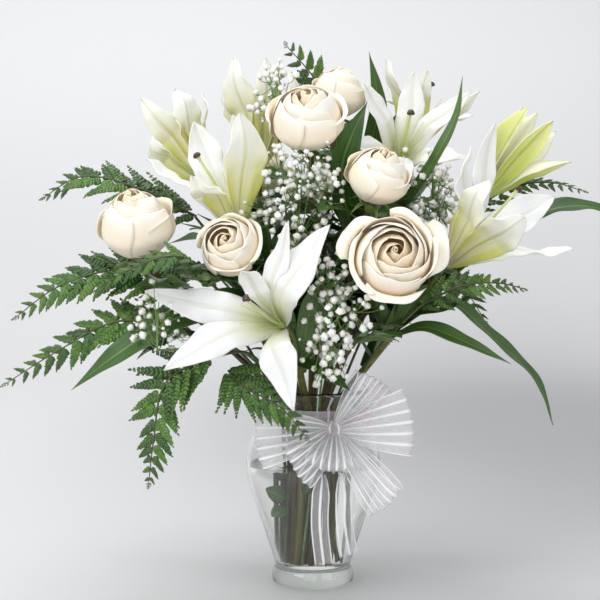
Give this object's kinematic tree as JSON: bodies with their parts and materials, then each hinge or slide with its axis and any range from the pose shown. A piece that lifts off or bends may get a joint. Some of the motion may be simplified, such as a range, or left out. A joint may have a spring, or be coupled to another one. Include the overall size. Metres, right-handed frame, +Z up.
{
  "type": "lilies in a vase",
  "caption": "Florist's arrangement of white lilies, cream roses, baby's breath and fern standing in water in a clear footed glass vase with a sheer ribbon bow.",
  "frame": {"origin": "centre of the flat bottom of the vase's foot", "axes": "+Z up along the vase's axis; -Y is the front, the side that carries the bow and faces the viewer; +X is to the viewer's right, along the arrangement's width"},
  "size_m": [0.6302, 0.3546, 0.5461],
  "materials": {
    "glass": "clear, glossy",
    "water": "clear water",
    "ribbon": "sheer organza with satin stripes",
    "rose_stem": "matt green",
    "rose_petal": "soft, cream with peach hearts",
    "lily_petal": "waxy white, yellow-green at the base",
    "lily_bud": "waxy yellow-green",
    "lily_pistil": "pale green with a dark tip",
    "lily_leaf": "satin green",
    "fern": "leathery dark green",
    "gypsophila": "matt white"
  },
  "bodies": {
    "root": {"vase": "glass", "water": "water", "ribbon_band": "ribbon", "ribbon_bow": "ribbon", "ribbon_tail_centre": "ribbon", "ribbon_tail_right": "ribbon", "rose_left_stem": "rose_stem", "rose_inner_left_stem": "rose_stem", "rose_front_stem": "rose_stem", "rose_inner_right_stem": "rose_stem", "rose_top_front_stem": "rose_stem", "rose_top_rear_stem": "rose_stem", "rose_back_stem": "rose_stem", "rose_left_bloom": "rose_petal", "rose_inner_left_bloom": "rose_petal", "rose_front_bloom": "rose_petal", "rose_inner_right_bloom": "rose_petal", "rose_top_front_bloom": "rose_petal", "rose_top_rear_bloom": "rose_petal", "rose_back_bloom": "rose_petal", "lily_front_bloom": "lily_petal", "lily_left_front_bloom": "lily_petal", "lily_left_rear_bloom": "lily_petal", "lily_left_top_bloom": "lily_petal", "lily_right_top_bloom": "lily_petal", "lily_right_rear_bloom": "lily_petal", "lily_right_bloom": "lily_petal", "lily_right_bud_bloom": "lily_bud", "lily_front_pistil": "lily_pistil", "lily_left_front_pistil": "lily_pistil", "lily_left_rear_pistil": "lily_pistil", "lily_left_top_pistil": "lily_pistil", "lily_right_top_pistil": "lily_pistil", "lily_right_rear_pistil": "lily_pistil", "lily_right_pistil": "lily_pistil", "lily_stalk_front": "lily_leaf", "lily_stalk_left": "lily_leaf", "lily_stalk_right_rear": "lily_leaf", "lily_stalk_right": "lily_leaf", "fern_top": "fern", "fern_left_high": "fern", "fern_left_mid": "fern", "fern_left_low": "fern", "fern_down_left": "fern", "fern_down_front": "fern", "fern_front_left": "fern", "fern_right_high": "fern", "fern_right_low": "fern", "fern_back_left": "fern", "fern_back_mid": "fern", "fern_back_right": "fern", "gypsophila_centre": "gypsophila", "gypsophila_right": "gypsophila", "gypsophila_front": "gypsophila", "gypsophila_left": "gypsophila", "gypsophila_top": "gypsophila", "gypsophila_back": "gypsophila"}
  },
  "joints": []
}
